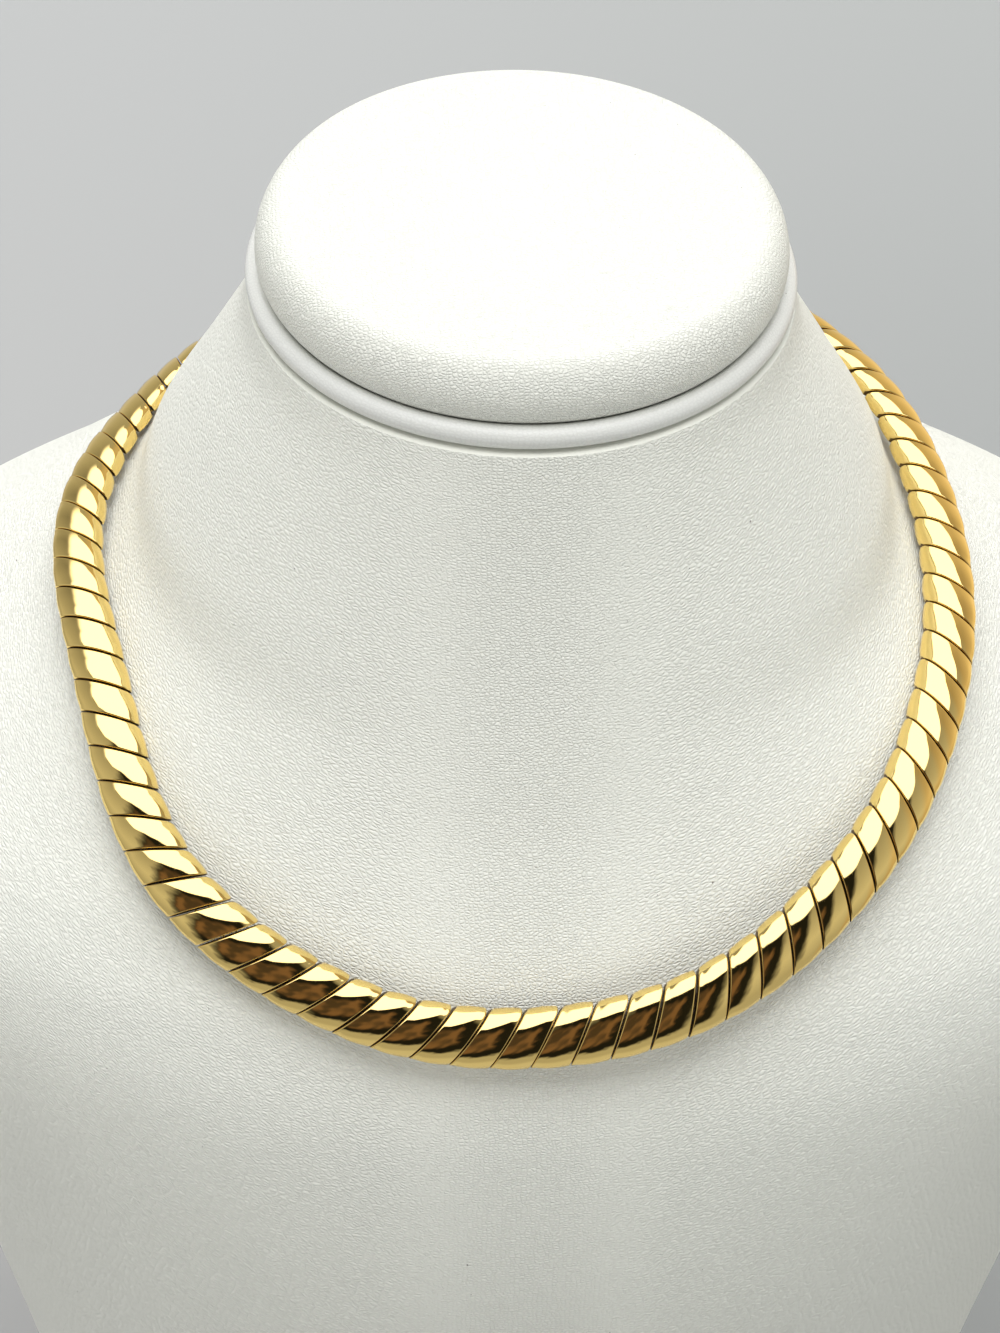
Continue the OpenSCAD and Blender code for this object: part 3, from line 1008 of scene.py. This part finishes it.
def polished(material, wave_depth):
    n, shader = shader_of(material)
    at = n.add("ShaderNodeTexCoord", outputs="Object")
    made = use_group(n, polish_tree, {"Vector": at, "Dull": DULL, "Bright": BRIGHT})
    bump = n.add("ShaderNodeBump", {"Height": made["Height"], "Strength": 1.0, "Distance": wave_depth})
    in_gap = n.add("ShaderNodeAttribute", {}, outputs="Fac", attribute_name="in_gap")
    # The gap walls take the painted shade colour instead of gold, and a higher roughness
    colour = n.mix_colour(in_gap, GOLD, GAP_PAINTED_SHADE)
    roughness = n.math("MULTIPLY_ADD", in_gap, GAP_ROUGHNESS, made["Roughness"])
    n.give(shader, {"Base Color": colour, "Metallic": 1.0, "Roughness": roughness, "Normal": bump})


polish_tree = polish_group()
polished(gold_tone, LINK_WAVES)
rings_gold = bpy.data.materials.new("gold_tone_rings")
polished(rings_gold, RING_WAVES)
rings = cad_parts["joining_rings"]
for place in rings.material_slots:
    place.link = "OBJECT"
    place.material = rings_gold
print("material slots on the rings:", len(rings.material_slots))

# %% [markdown]
# ## The room, drawn by direction
# The gold is a mirror, so the photograph's reflections tell what stood round the bust: light walls, warmer
# on the right, a bright ceiling that comes down lower in front and on the left, a dark zone in front with
# some brown in it, and the pale table below. A photographed panorama could supply that. The world below
# draws these few zones by direction instead, with soft, slightly uneven borders. Azimuth 0 is straight in
# front of the bust, and negative azimuths are on the photograph's left.

# %% Zones that the gold reflects
# Brightness of the walls by azimuth, its share by elevation, and where the bright ceiling begins by azimuth
WALLS = [(-180, 0.50), (-150, 0.48), (-128, 0.34), (-105, 0.44), (-60, 0.50), (60, 0.50), (85, 0.50),
         (105, 0.58), (125, 0.75), (145, 0.75), (165, 0.52), (180, 0.50)]
WALL_SHARES = [(-90, 0.9), (-30, 0.9), (0, 1.25), (20, 1.0), (45, 0.75), (90, 0.75)]
CEILING_EDGE = [(-180, 56), (-150, 57), (-120, 60), (-92, 58), (-76, 42), (-58, 40), (-40, 46), (40, 48),
                (65, 50), (90, 60), (100, 62), (150, 57), (180, 56)]
# Zones by azimuth and by elevation as from, to and softness of the border
WARM_SIDES = (78.0, 160.0, 12.0)
DARK_SIDES = (-46.0, 34.0, 9.0)
DARK_RISE = (-32.0, 64.0, 5.0)
BROWN_SIDES = (-38.0, 10.0, 5.0)
BROWN_RISE = (-15.0, 33.0, 6.0)
# Degrees by which noise shifts the borders of the dark and the brown zone
UNEVEN = 22.0
# Elevations at which the table begins and at which its nearer part does
TABLE_BORDER = (-34.0, -44.0)
TABLE_TURN = (-48.0, -62.0)
# Degrees above the ceiling's edge between which it fades in, sharply or, from these azimuths on, softly
BORDER_SHARP = (-2.0, 1.0)
BORDER_SOFT = (-9.0, 3.0)
SOFT_FROM = (-70.0, -90.0)
WARM_WALL = (1.08, 0.9, 0.66)
CEILING = (2.3, 2.3, 2.65, 1.0)
DARK = 0.014
DEEP_BROWN = (0.07, 0.05, 0.04, 1.0)
RUST = (0.20, 0.12, 0.08, 1.0)
TABLE_NEAR = 0.6
TABLE_FAR = 0.45


def window(n, value, low, high, soft):
    """1 between low and high and 0 outside, with borders that fade over twice the softness."""
    after = smooth_step(n, value, low - soft, low + soft)
    before = smooth_step(n, value, high + soft, high - soft)
    return n.math("MULTIPLY", after, before)


def zone(n, azimuth, elevation, sides, rise):
    return n.math("MULTIPLY", window(n, azimuth, *sides), window(n, elevation, *rise))


def grey(v):
    return (v, v, v, 1.0)


def angle_ramp(n, angle, span, stops):
    """Greys by angle: stops are (degrees, brightness) in rising order, over a span with 0 in its middle."""
    place = n.math("MULTIPLY_ADD", angle, 1 / span, 0.5)
    ramp = n.add("ShaderNodeValToRGB", {0: place}, outputs=None)
    elements = ramp.color_ramp.elements
    elements[0].color = grey(stops[0][1])
    elements[1].color = grey(stops[-1][1])
    for degrees, bright in stops[1:-1]:
        elements.new(degrees / span + 0.5).color = grey(bright)
    return ramp.outputs[0]


def mirrored_zones(n, way, azimuth, elevation):
    uneven = n.math("MULTIPLY", n.math("SUBTRACT", noise(n, way, 4.0, 3.0), 0.5), UNEVEN)
    azimuth_here = n.math("ADD", azimuth, uneven)
    elevation_here = n.math("ADD", elevation, uneven)

    walls = angle_ramp(n, azimuth, 360, WALLS)
    room = n.vector("SCALE", walls, angle_ramp(n, elevation, 180, WALL_SHARES))
    warm = window(n, azimuth, *WARM_SIDES)
    room = n.mix_colour(warm, room, n.vector("MULTIPLY", room, WARM_WALL))
    table = n.mix_colour(smooth_step(n, elevation, *TABLE_TURN), grey(TABLE_FAR), grey(TABLE_NEAR))
    room = n.mix_colour(smooth_step(n, elevation, *TABLE_BORDER), room, table)

    in_brown = zone(n, azimuth_here, elevation_here, BROWN_SIDES, BROWN_RISE)
    mottle = noise(n, n.vector("MULTIPLY", way, (1.6, 1.6, 1.0)), 2.4, 1.0)
    brown = n.mix_colour(smooth_step(n, mottle, 0.35, 0.65), DEEP_BROWN, RUST)
    dark = n.mix_colour(in_brown, grey(DARK), brown)
    in_dark = zone(n, azimuth_here, elevation_here, DARK_SIDES, DARK_RISE)
    room = n.mix_colour(in_dark, room, dark)

    above = n.math("SUBTRACT", elevation, angle_ramp(n, azimuth, 360, CEILING_EDGE))
    on_left = smooth_step(n, azimuth, *SOFT_FROM)
    in_ceiling = n.mix(on_left, smooth_step(n, above, *BORDER_SHARP), smooth_step(n, above, *BORDER_SOFT))
    return n.mix_colour(in_ceiling, room, CEILING)


# %% [markdown]
# The white leatherette tells more about the light than the gold, whose highlights are burnt out. Its
# shading asks for a broad light overhead in front, a bright window halfway up behind the bust, which makes
# the top of the cap glow, and two bright walls beside a darker front. So light that falls on matt surfaces
# comes from this second, simpler drawing of the same room. The light that the polished links throw back
# onto the leather comes from it too, a little stronger.

# %% Zones that light the leather
# Brightness by azimuth up to 22 degrees and from there to 58 degrees, and overhead in front and behind
LOW_BAND = [(-180, 0.0), (-135, 0.1), (-90, 1.5), (-45, 1.05), (0, 0.4), (45, 1.75), (90, 0.3), (135, 0.0),
            (180, 0.0)]
MIDDLE_BAND = [(-180, 6.0), (-135, 0.5), (-90, 0.35), (-45, 0.12), (0, 0.05), (45, 0.1), (90, 0.85),
               (135, 0.2), (180, 6.0)]
LOW_TO_MIDDLE = (19.0, 25.0)
MIDDLE_TO_OVERHEAD = (54.0, 62.0)
LOW_TO_TABLE = (-18.0, -22.0)
FRONT_TO_BACK = (-0.1, 0.1)
OVERHEAD_FRONT = 5.5
OVERHEAD_BACK = 0.6
TABLE_LIGHT = 0.85
THROWN_BACK = (1.2, 1.2, 1.2)
BACKDROP = (0.50, 0.505, 0.50, 1.0)


def lighting_zones(n, azimuth, elevation, y):
    low, middle = angle_ramp(n, azimuth, 360, LOW_BAND), angle_ramp(n, azimuth, 360, MIDDLE_BAND)
    behind = smooth_step(n, y, *FRONT_TO_BACK)
    overhead = n.mix_colour(behind, grey(OVERHEAD_FRONT), grey(OVERHEAD_BACK))
    room = n.mix_colour(smooth_step(n, elevation, *LOW_TO_MIDDLE), low, middle)
    room = n.mix_colour(smooth_step(n, elevation, *MIDDLE_TO_OVERHEAD), room, overhead)
    return n.mix_colour(smooth_step(n, elevation, *LOW_TO_TABLE), room, grey(TABLE_LIGHT))


def draw_room():
    world = bpy.data.worlds.new("studio")
    bpy.context.scene.world = world
    world.use_nodes = True
    n = Nodes(world.node_tree)
    way = n.add("ShaderNodeTexCoord", outputs="Generated")
    x, y, z = n.add("ShaderNodeSeparateXYZ", {0: way}, outputs=None).outputs
    azimuth = n.math("DEGREES", n.math("ARCTAN2", x, n.math("MULTIPLY", y, -1.0)))
    elevation = n.math("DEGREES", n.math("ARCSINE", z))
    path = n.add("ShaderNodeLightPath", outputs=None).outputs
    seen_first = n.math("LESS_THAN", path["Diffuse Depth"], 0.5)
    in_gold = n.math("MULTIPLY", path["Is Glossy Ray"], seen_first)
    lighting = lighting_zones(n, azimuth, elevation, y)
    thrown = n.math("MULTIPLY", path["Is Glossy Ray"], n.math("SUBTRACT", 1.0, seen_first))
    lighting = n.mix_colour(thrown, lighting, n.vector("MULTIPLY", lighting, THROWN_BACK))
    room = n.mix_colour(in_gold, lighting, mirrored_zones(n, way, azimuth, elevation))
    room = n.mix_colour(path["Is Camera Ray"], room, BACKDROP)
    n.give(world.node_tree.nodes["Background"], {"Color": room})
    return world


room = draw_room()
print("world:", room.name)

# %% [markdown]
# ## The floor
# The bust stands on a plain pale table, which also is what the camera sees behind it. One flat colour would
# do, but the table is darker near the bust and on the right, where less light reaches it, and that is
# painted
# into its colour: a painted shadow round the bust's foot and painted shade on the right. It is only
# staging, and the gold doesn't mirror it, because the room's drawing has its own table.

# %% Floor
FLOOR_HALF = 1.6
FLOOR_DROP = 0.2 * MM
# Colours far from the bust, left and right; the darker right one is painted shade
FAR_SHADES = (0.35, 0.357, 0.353, 1.0), (0.308, 0.32, 0.312, 1.0)
# Colours close to the bust: a painted shadow round its foot, deepest on the right
PAINTED_SHADOW_NEAR_BUST = (0.335, 0.335, 0.33, 1.0), (0.20, 0.212, 0.204, 1.0)
# Metres from left to right and from the bust outwards between which the shades change
LEFT_TO_RIGHT = (-0.15, 0.25)
NEAR_TO_FAR = (0.12, 0.62)
FLOOR_ROUGHNESS = 0.7


def lay_floor():
    corners = [(x, y, -FLOOR_DROP) for x, y in FLOOR_HALF * np.array([(-1, -1), (1, -1), (1, 1), (-1, 1)])]
    floor = new_object("floor", corners, [(0, 1, 2, 3)])
    material = bpy.data.materials.new("pale_table")
    n, shader = shader_of(material)
    at = n.add("ShaderNodeTexCoord", outputs="Object")
    x = n.add("ShaderNodeSeparateXYZ", {0: at}, outputs=None).outputs[0]
    across = smooth_step(n, x, *LEFT_TO_RIGHT)
    far = n.mix_colour(across, *FAR_SHADES)
    near = n.mix_colour(across, *PAINTED_SHADOW_NEAR_BUST)
    shade = n.mix_colour(smooth_step(n, n.vector("LENGTH", at), *NEAR_TO_FAR), near, far)
    n.give(shader, {"Base Color": shade, "Roughness": FLOOR_ROUGHNESS})
    floor.data.materials.append(material)
    floor.visible_glossy = False
    return floor


floor = lay_floor()
bpy.context.scene.view_settings.view_transform = "Standard"
print("floor:", 2 * FLOOR_HALF, "m wide, view transform Standard")
